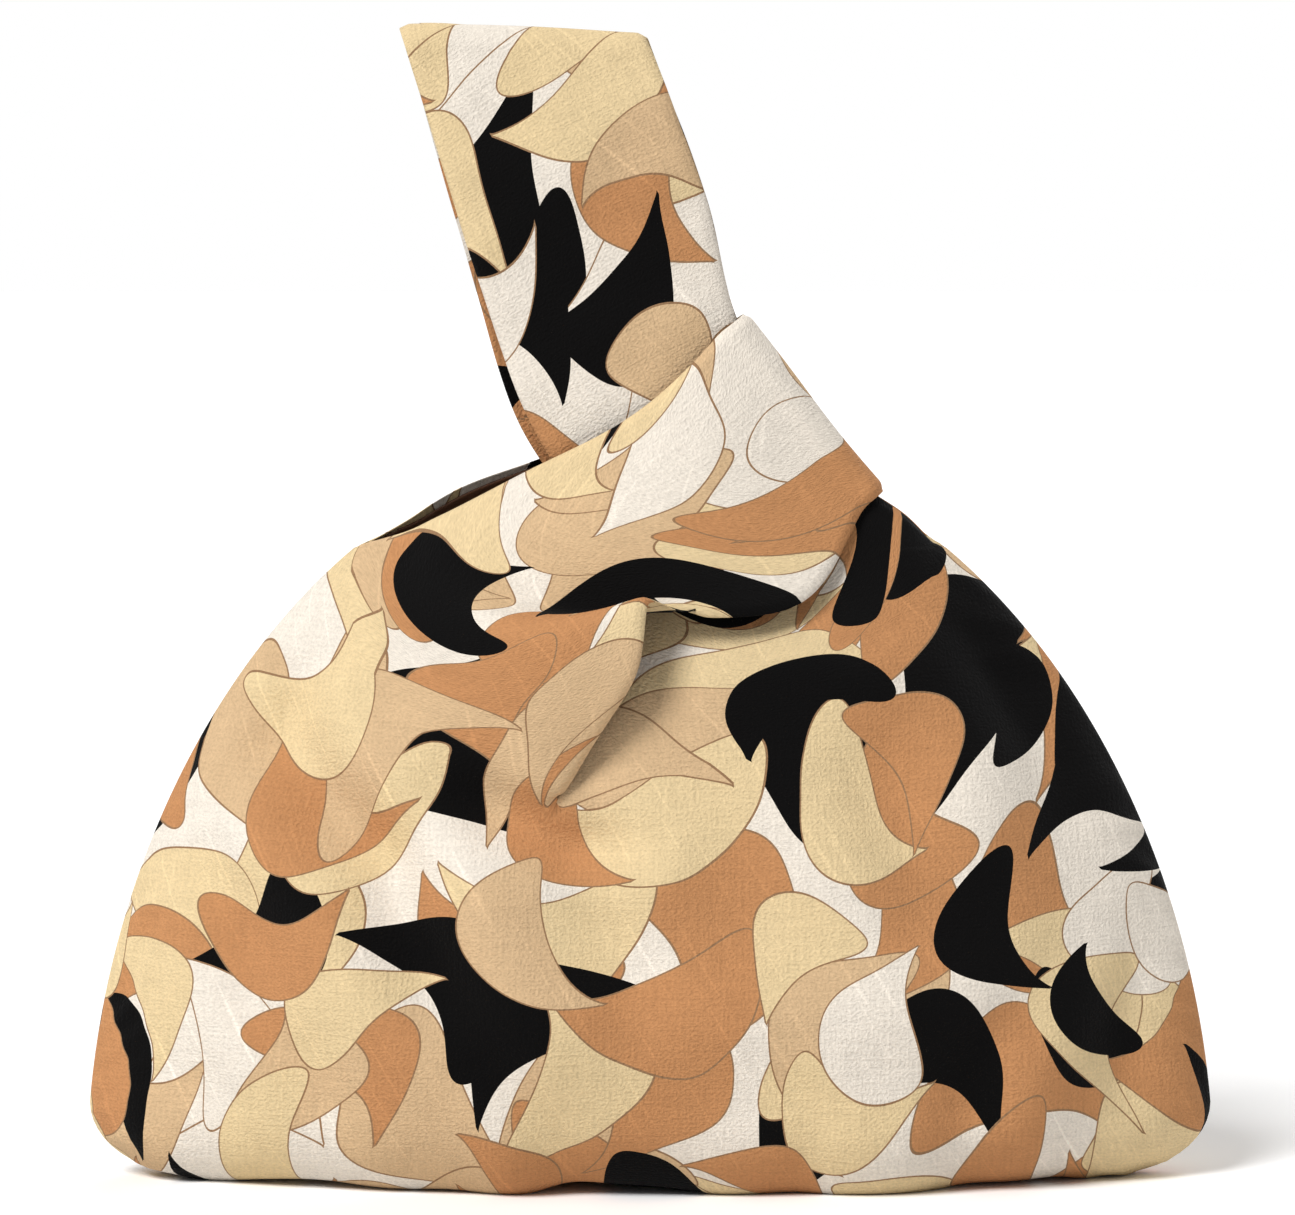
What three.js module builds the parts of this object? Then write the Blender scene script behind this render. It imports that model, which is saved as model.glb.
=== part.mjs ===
// Japanese knot bag: a filled cloth pouch whose long loop is drawn through its short loop.
// Millimetres, Z up, X to the viewer's right, Y away from the viewer, origin on the floor under the middle.
import * as THREE from "three";

// Filled body
const BODY_WIDTH = 340;         // side seam to side seam at the widest, low down
const BODY_DEPTH = 110;         // front to back where the body is fullest
const CROWN_HEIGHT = 224;       // where the two side outlines would meet
const OUTLINE_POWER = 1.9;      // roundness of the side outline
const FULLEST_HEIGHT = 55;      // height of the deepest part
const DEPTH_FADE = 158;         // rise over which the depth closes above the fullest part
const DEPTH_POWER = 1.4;
const SECTION_POWER = 0.7;      // fullness of a level section towards its side seams
const CORNER_HEIGHT = 22;       // rounded bottom corners
const BASE_WIDTH = 276;         // flat bottom that stands on the floor
const BASE_DEPTH = 72;
const BASE_SEAM_INSET = 14;     // the bottom seam stops this far inside each end of the flat bottom

// Valleys that the knot pulls into the body: places as shares of the half width and of the crown height
const DRAG_FOLD = [[-0.95, 0.7], [-0.73, 0.56], [-0.55, 0.45], [-0.47, 0.35], [-0.38, 0.25]];
const DRAG_DEPTH = 6;
const DRAG_BREADTH = 13;        // half breadth of a valley
const SCOOP_FOLD = [[-0.41, 0.52], [-0.16, 0.46], [-0.03, 0.46]];
const SCOOP_FOLD_DEPTH = 5;

// Mouth: side seams stop at the shoulders, the scoop between the straps is a slit left of the middle
const SHOULDER_DROP = 32;       // shoulders below the crown
const SCOOP_DEPTH = 78.4;       // foot of the scoop below the shoulders
const SCOOP_SIDE = -0.2;        // scoop position as a share of the half width
const RIM_POWER = 1.25;

// Straps
const STRAP_WIDTH = 70;
const BAND_TILT = 36.6;         // the short loop climbs to the right, degrees
const FOLD_TOP_X = 27.8;        // upper end of the short loop's fold
const FOLD_TOP_RISE = 37.4;     // above the crown
const FOLD_RADIUS = 10;         // half thickness of the short loop at its fold
const BAND_START_X = 41;        // upper end of the line where the short loop starts, left of the middle
const BAND_START_RISE = 20;     // above the shoulders
const BAND_START_OPEN = 9;      // half opening of the armhole there
const BAND_FOOT_X = 14;         // lower end of that line, right of the middle
const BAND_FOOT_RISE = 57.4;    // above the foot of the scoop
const BAND_FOOT_OUT = 36.5;     // in front of the middle plane
const PLEAT_TOP_X = 61;         // upper end of the pleat's crest, left of the middle
const PLEAT_TOP_RISE = 9.5;     // above the shoulders
const PLEAT_TOP_OUT = 7.5;      // in front of the middle plane
const PLEAT_MIDDLE_X = 48;      // middle of the crest, left of the middle
const PLEAT_MIDDLE_DROP = 18;   // below the shoulders
const PLEAT_MIDDLE_OUT = 37;
const PLEAT_TIP_X = 1;          // tip of the crest at the scoop's edge, left of the middle
const PLEAT_TIP_RISE = 66;      // above the foot of the scoop
const PLEAT_TIP_OUT = 48;
const PLEAT_TUCK = 7;           // the cloth dips this far behind the crest
const STRAP_EASE = 20;          // length over which a strap turns out of or into its line
const RUN_FOOT_X = 3;           // inner end of the line where the long strap starts, left of the middle
const RUN_FOOT_DROP = 10;       // below the shoulders
const RUN_FOOT_OUT = 9;         // in front of the middle plane
const RUN_EDGE_RISE = 11;       // outer end of that line above the lower end of the fold
const RUN_EDGE_OUT = 4.5;
const RUN_INSET = 7.6;          // long strap's edge inside the short loop's fold
const LOOP_LEAN = 17;           // the carry loop leans left, degrees
const LOOP_WIDTH = 71;
const LOOP_RISE = 79;           // right edge of the carry loop above the pivot
const LOOP_TOP_SLOPE = 2;       // top fold falls to the right, degrees
const LOOP_OPENING = 21;        // carry loop front to back at its fullest
const PIVOT_RISE = 45;          // right end of the pivot line above the crown
const PIVOT_X = 22.5;
const PIVOT_TAIL = 3;           // cloth of the carry loop runs on this far below the pivot line

// Cloth
const OUTER_CLOTH = 0.6;
const INTERLINING_CLOTH = 0.6;
const LINING_CLOTH = 0.4;
const PLY_GAP = 0.3;
const SEAM_GAP = 0.3;
const THREAD = 0.5;

// Mesh fineness
const BODY_COLUMNS = 22;
const SCOOP_COLUMN = 9;
const BASE_ROWS = 2;
const CORNER_ROWS = 3;
const WALL_ROWS = 9;
const CREST_ROWS = 4;
const TUCK_ROWS = 2;
const FLAP_ROWS = 5;
const BAND_ROWS = 7;
const FOLD_ROWS = 3;
const RUN_ROWS = 6;
const LOOP_ROWS = 10;
const STRAP_COLUMNS = 7;
const THREAD_SIDES = 6;

const radians = THREE.MathUtils.degToRad;
const vector = (x, y, z) => new THREE.Vector3(x, y, z);
const mix = (a, b, t) => a + (b - a) * t;
const plane = (angle) => vector(Math.cos(radians(angle)), 0, Math.sin(radians(angle)));

// Directions in the front view
const bandAlong = plane(BAND_TILT);
const foldDown = plane(BAND_TILT - 90);
const loopUp = plane(90 + LOOP_LEAN);
const loopAcross = plane(LOOP_LEAN);

// Fixed points that the pieces share
const shoulderHeight = CROWN_HEIGHT - SHOULDER_DROP;
const scoopHeight = shoulderHeight - SCOOP_DEPTH;
const foldTop = vector(FOLD_TOP_X, 0, CROWN_HEIGHT + FOLD_TOP_RISE);
const foldBottom = foldTop.clone().addScaledVector(foldDown, STRAP_WIDTH);
const pivotRight = vector(PIVOT_X, 0, CROWN_HEIGHT + PIVOT_RISE);
const pivotLeft = pivotRight.clone().addScaledVector(loopAcross, -LOOP_WIDTH);
const strapStack = OUTER_CLOTH + PLY_GAP + LINING_CLOTH;
const pinch = strapStack + SEAM_GAP / 2;
const pivotRadius = Math.hypot(PIVOT_TAIL, pinch);

// Filled body surface
function halfWidth(z) {
  const outline = (h) => (BODY_WIDTH / 2) * Math.sqrt(Math.max(0, 1 - (h / CROWN_HEIGHT) ** OUTLINE_POWER));
  if (z >= CORNER_HEIGHT) return outline(z);
  const round = Math.sqrt(1 - (1 - z / CORNER_HEIGHT) ** 2);
  return mix(BASE_WIDTH / 2, outline(CORNER_HEIGHT), round);
}

function halfDepth(z) {
  const full = BODY_DEPTH / 2;
  if (z > FULLEST_HEIGHT) {
    const rise = Math.min(1, (z - FULLEST_HEIGHT) / DEPTH_FADE);
    return full * Math.sqrt(1 - rise ** DEPTH_POWER);
  }
  const wall = full * (1 - 0.1 * (1 - z / FULLEST_HEIGHT) ** 2);
  if (z >= CORNER_HEIGHT) return wall;
  return mix(BASE_DEPTH / 2, wall, Math.sqrt(1 - (1 - z / CORNER_HEIGHT) ** 2));
}

const fullness = (share) => Math.max(0, 1 - share * share) ** SECTION_POWER;

function onBody(share, z) {
  return vector(halfWidth(z) * share, -SEAM_GAP / 2 - halfDepth(z) * fullness(share), z);
}

const frontView = (share, z) => vector(halfWidth(z) * share, 0, z);

function valleyDepth(share, z, places, depth) {
  const here = frontView(share, z);
  const line = places.map(([s, rise]) => frontView(s, rise * CROWN_HEIGHT));
  const nearest = vector(0, 0, 0);
  let distance = Infinity;
  for (let i = 0; i + 1 < line.length; i += 1) {
    new THREE.Line3(line[i], line[i + 1]).closestPointToPoint(here, true, nearest);
    distance = Math.min(distance, nearest.distanceTo(here));
  }
  return depth * Math.exp(-((distance / DRAG_BREADTH) ** 2));
}

// Wall of the body from the bottom corner, t = 0, to the mouth, t = 1
function onWall(share, t) {
  const z = mix(CORNER_HEIGHT, rimHeight(share), t);
  const point = onBody(share, z);
  const valleys = valleyDepth(share, z, DRAG_FOLD, DRAG_DEPTH) + valleyDepth(share, z, SCOOP_FOLD, SCOOP_FOLD_DEPTH);
  point.y += valleys * fullness(share) * (1 - t ** 8);
  return point;
}

function onBase(share, t) {
  const half = BASE_WIDTH / 2 - BASE_SEAM_INSET * (1 - t);
  return vector(half * share, -SEAM_GAP / 2 - (BASE_DEPTH / 2) * t * fullness(share), 0);
}

function rimHeight(share) {
  const span = share < SCOOP_SIDE ? SCOOP_SIDE + 1 : 1 - SCOOP_SIDE;
  return scoopHeight + SCOOP_DEPTH * (Math.abs(share - SCOOP_SIDE) / span) ** RIM_POWER;
}

function columnShare(column) {
  const scoopAngle = Math.asin(SCOOP_SIDE);
  if (column <= SCOOP_COLUMN) return Math.sin(mix(-Math.PI / 2, scoopAngle, column / SCOOP_COLUMN));
  return Math.sin(mix(scoopAngle, Math.PI / 2, (column - SCOOP_COLUMN) / (BODY_COLUMNS - SCOOP_COLUMN)));
}

function bodyPoint(column, row) {
  const share = columnShare(column);
  if (row <= BASE_ROWS) return onBase(share, row / BASE_ROWS);
  const corner = row - BASE_ROWS;
  if (corner <= CORNER_ROWS) {
    return onBody(share, CORNER_HEIGHT * (1 - Math.cos((Math.PI / 2) * (corner / CORNER_ROWS))));
  }
  return onWall(share, (corner - CORNER_ROWS) / WALL_ROWS);
}

function bodyRise(share, z) {
  const step = CROWN_HEIGHT / 500;
  return onBody(share, z + step).sub(onBody(share, z - step)).divideScalar(2 * step);
}

// A strap face is swept from one line to another, leaving and arriving along given ways
function sweep(from, leave, arrive, to, t) {
  const s = 1 - t;
  return vector(0, 0, 0)
    .addScaledVector(from, s * s * s + 3 * s * s * t)
    .addScaledVector(leave, 3 * s * s * t)
    .addScaledVector(arrive, -3 * s * t * t)
    .addScaledVector(to, t * t * t + 3 * s * t * t);
}

const across = (a, b, t) => a.clone().lerp(b, t);
const ease = (x, y, z) => vector(x, y, z).multiplyScalar(STRAP_EASE);

// Line where the short strap's band starts, upper end first
const bandStartTop = vector(-BAND_START_X, -BAND_START_OPEN, shoulderHeight + BAND_START_RISE);
const bandStartFoot = vector(BAND_FOOT_X, -BAND_FOOT_OUT, scoopHeight + BAND_FOOT_RISE);
// Crest of the pleat that the pull of the band lays over the scoop, upper end first
const pleatTop = vector(-PLEAT_TOP_X, -PLEAT_TOP_OUT, shoulderHeight + PLEAT_TOP_RISE);
const pleatMiddle = vector(-PLEAT_MIDDLE_X, -PLEAT_MIDDLE_OUT, shoulderHeight - PLEAT_MIDDLE_DROP);
const pleatTip = vector(-PLEAT_TIP_X, -PLEAT_TIP_OUT, scoopHeight + PLEAT_TIP_RISE);
// Line where the long strap's run starts, hidden behind the band, inner end first
const runStartFoot = vector(-RUN_FOOT_X, -RUN_FOOT_OUT, shoulderHeight - RUN_FOOT_DROP);
const runStartEdge = foldBottom.clone().setY(-RUN_EDGE_OUT);
runStartEdge.addScaledVector(foldDown, -RUN_EDGE_RISE).addScaledVector(bandAlong, -RUN_INSET);

function pleatCrest(w) {
  return vector(0, 0, 0)
    .addScaledVector(pleatTop, (1 - w) * (1 - 2 * w))
    .addScaledVector(pleatMiddle, 4 * w * (1 - w))
    .addScaledVector(pleatTip, w * (2 * w - 1));
}

// Rises from the mouth to the pleat's crest, dips behind it and meets the band
function leftFlap(share, row) {
  const w = (share + 1) / (SCOOP_SIDE + 1);
  const z = rimHeight(share);
  const crest = pleatCrest(w);
  const bandStart = across(bandStartTop, bandStartFoot, w);
  if (row > CREST_ROWS) {
    const t = (row - CREST_ROWS) / TUCK_ROWS;
    const dip = PLEAT_TUCK * 4 * w * (1 - w) * 4 * t * (1 - t);
    return across(crest, bandStart, t).addScaledVector(vector(-0.4, 0.65, -0.65), dip);
  }
  const lean = ease(0.65 * w * w, -0.1 * w, 0);
  const leave = bodyRise(share, z).multiplyScalar(mix(0.3, 1.1, w) * STRAP_EASE).add(lean);
  const arrive = across(ease(0.35, 0, 0.2), ease(0.15, 0, 0.6), w);
  return sweep(onBody(share, z), leave, arrive, crest, row / CREST_ROWS);
}

function rightFlap(share, t) {
  const w = (share - SCOOP_SIDE) / (1 - SCOOP_SIDE);
  const z = rimHeight(share);
  const inner = 1 - w;
  const tuck = ease(0.9 * inner ** 3, 0.5 * inner, 0);
  const leave = bodyRise(share, z).multiplyScalar(0.8 * STRAP_EASE).add(tuck);
  const arrive = across(ease(0.9, 0.5, 1), ease(-0.7, 0, 0.7), w);
  return sweep(onBody(share, z), leave, arrive, across(runStartFoot, runStartEdge, w), t);
}

function bandPoint(w, t) {
  const top = across(bandStartTop, bandStartFoot, w);
  const foldLine = across(foldTop, foldBottom, w).addScaledVector(bandAlong, -FOLD_RADIUS);
  if (t > 1) {
    const turn = t - 1;
    foldLine.addScaledVector(bandAlong, FOLD_RADIUS * Math.sin(turn));
    foldLine.y = -SEAM_GAP / 2 - FOLD_RADIUS * Math.cos(turn);
    return foldLine;
  }
  foldLine.y = -SEAM_GAP / 2 - FOLD_RADIUS;
  const leave = across(ease(1.3, -0.1, 0.65), ease(1.1, 0.1, 0.1), w);
  const arrive = across(ease(1.1, 0.05, 0.8), ease(0.7, 0.7, 1.05), w);
  return sweep(top, leave, arrive, foldLine, t);
}

function runPoint(w, t) {
  const start = across(runStartFoot, runStartEdge, w);
  const end = across(pivotLeft, pivotRight, w).addScaledVector(loopUp, -pivotRadius - PLY_GAP);
  end.y = -pinch;
  const leave = across(ease(-0.4, 0.2, 0.8), ease(-0.6, 0, 0.8), w);
  const arrive = loopUp.clone().multiplyScalar(0.9 * STRAP_EASE);
  return sweep(start, leave, arrive, end, t);
}

// The carry loop in side view is a drop: pinched at the pivot line, round at the top
function loopPoint(w, turn) {
  const foot = across(pivotLeft, pivotRight, w);
  const slope = Math.sin(radians(LOOP_LEAN + LOOP_TOP_SLOPE)) / Math.cos(radians(LOOP_TOP_SLOPE));
  const height = PIVOT_TAIL + LOOP_RISE + LOOP_WIDTH * (1 - w) * slope;
  const climb = (1 - Math.cos(turn)) / 2;
  foot.addScaledVector(loopUp, climb * height - PIVOT_TAIL);
  const drop = Math.sin(turn) * Math.sin(turn / 2) / 0.77;
  const taper = Math.cos(turn / 2) ** 0.5;
  foot.y = -SEAM_GAP / 2 - (pinch - SEAM_GAP / 2) * taper - (LOOP_OPENING / 2 - pinch / 2) * drop;
  return foot;
}

// Sheets: points with quads, and inward directions for laying the plies
function gridSheet(columns, rows, pointAt, endInward) {
  const sheet = { points: [], quads: [], seams: [], ends: [] };
  for (let row = 0; row <= rows; row += 1) {
    for (let column = 0; column <= columns; column += 1) sheet.points.push(pointAt(column, row));
  }
  for (let row = 0; row < rows; row += 1) {
    for (let column = 0; column < columns; column += 1) {
      const a = row * (columns + 1) + column;
      sheet.quads.push([a, a + 1, a + columns + 2, a + columns + 1]);
    }
  }
  for (let column = 0; endInward && column <= columns; column += 1) {
    sheet.ends.push([rows * (columns + 1) + column, endInward]);
  }
  return sheet;
}

// Grows a strap foot from part of the panel's top edge
function addFlap(sheet, edge, rows, pointAt) {
  let below = edge;
  for (let row = 1; row <= rows; row += 1) {
    const above = edge.map((point, column) => {
      sheet.points.push(pointAt(column, row));
      return sheet.points.length - 1;
    });
    for (let column = 0; column + 1 < edge.length; column += 1) {
      sheet.quads.push([below[column], below[column + 1], above[column + 1], above[column]]);
    }
    below = above;
  }
}

function panelSheet() {
  const rows = BASE_ROWS + CORNER_ROWS + WALL_ROWS;
  const width = BODY_COLUMNS + 1;
  const sheet = gridSheet(BODY_COLUMNS, rows, bodyPoint);
  const rim = Array.from({ length: width }, (unused, column) => rows * width + column);
  const leftEdge = rim.slice(1, SCOOP_COLUMN + 1);
  const rightEdge = rim.slice(SCOOP_COLUMN, BODY_COLUMNS);
  const leftAt = (column, row) => leftFlap(columnShare(column + 1), row);
  const rightAt = (column, row) => rightFlap(columnShare(SCOOP_COLUMN + column), row / FLAP_ROWS);
  addFlap(sheet, leftEdge, CREST_ROWS + TUCK_ROWS, leftAt);
  addFlap(sheet, rightEdge, FLAP_ROWS, rightAt);
  for (let row = rows; row > 0; row -= 1) sheet.seams.push(row * width);
  for (let column = 0; column <= BODY_COLUMNS; column += 1) sheet.seams.push(column);
  for (let row = 1; row <= rows; row += 1) sheet.seams.push(row * width + BODY_COLUMNS);
  return sheet;
}

function inwardDirections(sheet) {
  const inward = sheet.points.map(() => vector(0, 0, 0));
  for (const [a, b, c, d] of sheet.quads) {
    const [pa, pb, pc, pd] = [a, b, c, d].map((i) => sheet.points[i]);
    const normal = pd.clone().sub(pb).cross(pc.clone().sub(pa));
    for (const i of [a, b, c, d]) inward[i].add(normal);
  }
  sheet.seams.forEach((point, i) => {
    const before = sheet.points[sheet.seams[Math.max(0, i - 1)]];
    const after = sheet.points[sheet.seams[Math.min(sheet.seams.length - 1, i + 1)]];
    inward[point].set(before.z - after.z, 0, after.x - before.x);
  });
  for (const [point, direction] of sheet.ends) inward[point].copy(direction);
  return inward.map((direction) => direction.normalize());
}

// One ply of cloth between two depths under a sheet
function plyGeometry(sheet, inward, near, far, mirrored) {
  const used = [...new Set(sheet.quads.flat())];
  const place = new Map(used.map((point, i) => [point, i]));
  const positions = [];
  for (const depth of [near, far]) {
    for (const i of used) {
      const p = sheet.points[i].clone().addScaledVector(inward[i], depth);
      positions.push(p.x, mirrored ? -p.y : p.y, p.z);
    }
  }
  const faces = [];
  const open = new Map();
  for (const quad of sheet.quads) {
    const [a, b, c, d] = quad.map((i) => place.get(i));
    const n = used.length;
    faces.push([a, b, c], [a, c, d], [a + n, c + n, b + n], [a + n, d + n, c + n]);
    for (const [from, to] of [[a, b], [b, c], [c, d], [d, a]]) {
      if (!open.delete(`${to} ${from}`)) open.set(`${from} ${to}`, [from, to]);
    }
  }
  for (const [from, to] of open.values()) {
    const n = used.length;
    faces.push([to, from, from + n], [to, from + n, to + n]);
  }
  return solid(positions, mirrored ? faces.map(([a, b, c]) => [a, c, b]) : faces);
}

function solid(positions, faces) {
  const geometry = new THREE.BufferGeometry();
  geometry.setAttribute("position", new THREE.Float32BufferAttribute(positions, 3));
  geometry.setIndex(faces.flat());
  geometry.computeVertexNormals();
  return geometry;
}

// Thread laid along a line in the middle plane
function threadGeometry(line) {
  const positions = [];
  const faces = [];
  const last = line.length - 1;
  line.forEach((point, i) => {
    const along = line[Math.min(last, i + 1)].clone().sub(line[Math.max(0, i - 1)]).normalize();
    const side = vector(-along.z, 0, along.x);
    for (let k = 0; k < THREAD_SIDES; k += 1) {
      const angle = (2 * Math.PI * k) / THREAD_SIDES;
      const ring = point.clone().addScaledVector(side, (THREAD / 2) * Math.cos(angle));
      positions.push(ring.x, ring.y + (THREAD / 2) * Math.sin(angle), ring.z);
    }
  });
  for (let i = 0; i < last; i += 1) {
    for (let k = 0; k < THREAD_SIDES; k += 1) {
      const a = i * THREAD_SIDES + k;
      const b = i * THREAD_SIDES + ((k + 1) % THREAD_SIDES);
      faces.push([a, b + THREAD_SIDES, b], [a, a + THREAD_SIDES, b + THREAD_SIDES]);
    }
  }
  for (let k = 1; k + 1 < THREAD_SIDES; k += 1) {
    faces.push([0, k, k + 1]);
    faces.push([last * THREAD_SIDES, last * THREAD_SIDES + k + 1, last * THREAD_SIDES + k]);
  }
  return solid(positions, faces);
}

// Materials
const cloth = (color, roughness) => new THREE.MeshStandardMaterial({ color, roughness, metalness: 0 });
const PRINT_COLOUR = 0xd8b78c;
const LINING_COLOUR = 0x6b4a33;
const INTERLINING_COLOUR = 0xe9e4da;
const THREAD_COLOUR = 0x8a6a4a;

const bag = new THREE.Group();
bag.name = "knot_bag";

function add(name, geometry, color, roughness) {
  const mesh = new THREE.Mesh(geometry, cloth(color, roughness));
  mesh.name = name;
  bag.add(mesh);
}

function addOuterAndLining(name, sheet, liningDepth) {
  const inward = inwardDirections(sheet);
  for (const [side, mirrored] of [["front", false], ["back", true]]) {
    const outer = plyGeometry(sheet, inward, 0, OUTER_CLOTH, mirrored);
    const lining = plyGeometry(sheet, inward, liningDepth, liningDepth + LINING_CLOTH, mirrored);
    add(`${name}_${side}_outer`, outer, PRINT_COLOUR, 0.85);
    add(`${name}_${side}_lining`, lining, LINING_COLOUR, 0.6);
  }
}

// Body panels, with an interlining cut back from the seams
const panel = panelSheet();
const panelInward = inwardDirections(panel);
const interliningDepth = OUTER_CLOTH + PLY_GAP;
const bodyLiningDepth = interliningDepth + INTERLINING_CLOTH + PLY_GAP;
addOuterAndLining("body", panel, bodyLiningDepth);
const seamPoints = new Set(panel.seams);
const interlining = { ...panel, quads: panel.quads.filter((quad) => !quad.some((i) => seamPoints.has(i))) };
for (const [side, mirrored] of [["front", false], ["back", true]]) {
  const far = interliningDepth + INTERLINING_CLOTH;
  const ply = plyGeometry(interlining, panelInward, interliningDepth, far, mirrored);
  add(`body_${side}_interlining`, ply, INTERLINING_COLOUR, 0.9);
}

// Straps
const strapDepth = OUTER_CLOTH + PLY_GAP;
const startGap = PLY_GAP / STRAP_WIDTH;
function bandAt(column, row) {
  const w = column / STRAP_COLUMNS;
  if (row <= BAND_ROWS) return bandPoint(w, mix(startGap, 1, row / BAND_ROWS));
  return bandPoint(w, 1 + (Math.PI / 2) * ((row - BAND_ROWS) / FOLD_ROWS));
}
const runAt = (column, row) => runPoint(column / STRAP_COLUMNS, mix(startGap, 1, row / RUN_ROWS));
const loopAt = (column, row) => loopPoint(column / STRAP_COLUMNS, Math.PI * (row / LOOP_ROWS));
const band = gridSheet(STRAP_COLUMNS, BAND_ROWS + FOLD_ROWS, bandAt, bandAlong.clone().negate());
const run = gridSheet(STRAP_COLUMNS, RUN_ROWS, runAt);
const loop = gridSheet(STRAP_COLUMNS, LOOP_ROWS, loopAt, loopUp.clone().negate());
addOuterAndLining("short_loop", band, strapDepth);
addOuterAndLining("long_strap", run, strapDepth);
addOuterAndLining("carry_loop", loop, strapDepth);

// Seam threads
const pocket = (OUTER_CLOTH + bodyLiningDepth) / 2;
const inPocket = (i) => panel.points[i].clone().setY(0).addScaledVector(panelInward[i], pocket);
const seamLine = panel.seams.map(inPocket);
const sideRows = BASE_ROWS + CORNER_ROWS + WALL_ROWS;
const seamInset = strapStack + PLY_GAP + THREAD / 2;
const END_MARGIN = 0.06;
const ends = [END_MARGIN, 1 - END_MARGIN];
const loopTop = (w) => loopPoint(w, Math.PI).setY(0).addScaledVector(loopUp, -seamInset);
const bandEnd = (w) => across(foldTop, foldBottom, w).addScaledVector(bandAlong, -seamInset);
const seams = {
  left_side_seam_thread: seamLine.slice(1, sideRows),
  bottom_seam_thread: seamLine.slice(sideRows + 1, sideRows + BODY_COLUMNS),
  right_side_seam_thread: seamLine.slice(sideRows + BODY_COLUMNS + 1, -1),
  carry_loop_top_seam_thread: ends.map(loopTop),
  short_loop_end_seam_thread: ends.map(bandEnd),
};
for (const [name, line] of Object.entries(seams)) add(name, threadGeometry(line), THREAD_COLOUR, 0.7);

export default bag;
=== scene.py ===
"""Knot bag: printed cloth body, short loop and carry loop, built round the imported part's bodies."""
import math
from typing import NamedTuple

import bpy
import numpy as np
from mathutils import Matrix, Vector


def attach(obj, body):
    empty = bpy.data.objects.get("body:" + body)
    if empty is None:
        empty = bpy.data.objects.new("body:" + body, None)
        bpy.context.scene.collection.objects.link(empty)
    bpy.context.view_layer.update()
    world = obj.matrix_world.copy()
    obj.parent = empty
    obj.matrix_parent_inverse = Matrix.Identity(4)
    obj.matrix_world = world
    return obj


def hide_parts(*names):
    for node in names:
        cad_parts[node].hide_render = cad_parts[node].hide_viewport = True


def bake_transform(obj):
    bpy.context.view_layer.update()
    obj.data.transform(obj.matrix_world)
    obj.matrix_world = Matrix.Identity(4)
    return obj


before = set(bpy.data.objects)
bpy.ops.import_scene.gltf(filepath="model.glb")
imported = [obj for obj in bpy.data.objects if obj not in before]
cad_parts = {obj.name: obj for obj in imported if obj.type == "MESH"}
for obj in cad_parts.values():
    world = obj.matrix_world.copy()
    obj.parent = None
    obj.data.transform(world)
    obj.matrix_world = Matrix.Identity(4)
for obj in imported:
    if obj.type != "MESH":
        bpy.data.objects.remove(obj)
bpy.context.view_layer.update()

MM = 0.001
TINY = 1e-9

# Body, millimetres, as the part is cut
BODY_HALF_WIDTH = 170
BODY_HALF_DEPTH = 55
CROWN_HEIGHT = 224
OUTLINE_POWER = 1.9
FULLEST_HEIGHT = 55
DEPTH_FADE = 158
DEPTH_POWER = 1.4
FOOT_DRAW_IN = 0.1              # share of the depth that the wall loses down to the floor
SECTION_POWER = 0.7
CORNER_HEIGHT = 22
BASE_HALF_WIDTH = 138
BASE_HALF_DEPTH = 36
BASE_SEAM_INSET = 14
SHOULDER_HEIGHT = 192
SCOOP_HEIGHT = 113.6
SCOOP_SHARE = -0.2
RIM_POWER = 1.25
SEAM_HALF_GAP = 0.25

# Straps
STRAP_WIDTH = 72
BAND_ALONG = np.array([0.803, 0.0, 0.596])
FOLD_RADIUS = 9.0
RUN_INSET = 2.2
RUN_NARROWER = 0.06
STRAP_EVEN_FROM = 0.25          # shares of the length from which a strap has even columns, and its own curve
STRAP_SETTLED = 0.35
SHOULDER_EVEN_FROM = 0.5
SHOULDER_SETTLED = 0.5

# Flat pattern: middle of each strap beside the body's middle, and share of the length to its full width
LEFT_STRAP_CENTRE = -60
SHOULDER_CENTRE = 30
FULL_WIDTH_FROM = 0.6

# Cloth layers, depths under the printed face
OUTER_THICK = 0.8
INTERLINING_DEPTH = 0.95
INTERLINING_THICK = 0.25
LINING_DEPTH = 1.25
LINING_THICK = 0.45
LEAST_THICK = 0.25
EDGE_ROLL = 1.3
ROLL_REACH = 1.6
FACING_RINGS = 3                # rings of quads that the lining stops short of a free edge
FELT_INSET = 3.0                # the felt stops this far from the middle plane

# Mesh fineness, rows and columns of the printed cloth
COLUMNS = 190
SCOOP_COLUMN = 83
BASE_ROWS = 12
CORNER_ROWS = 12
WALL_ROWS = 66
STRAP_ROWS = 96
FOLD_ROWS = 12
SHOULDER_ROWS = 34
LOOP_COLUMNS = 56
LOOP_ROWS = 130
RIM_RINGS = 14                  # rings of quads within which the distance from the rim is known


# Curves and noise

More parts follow.
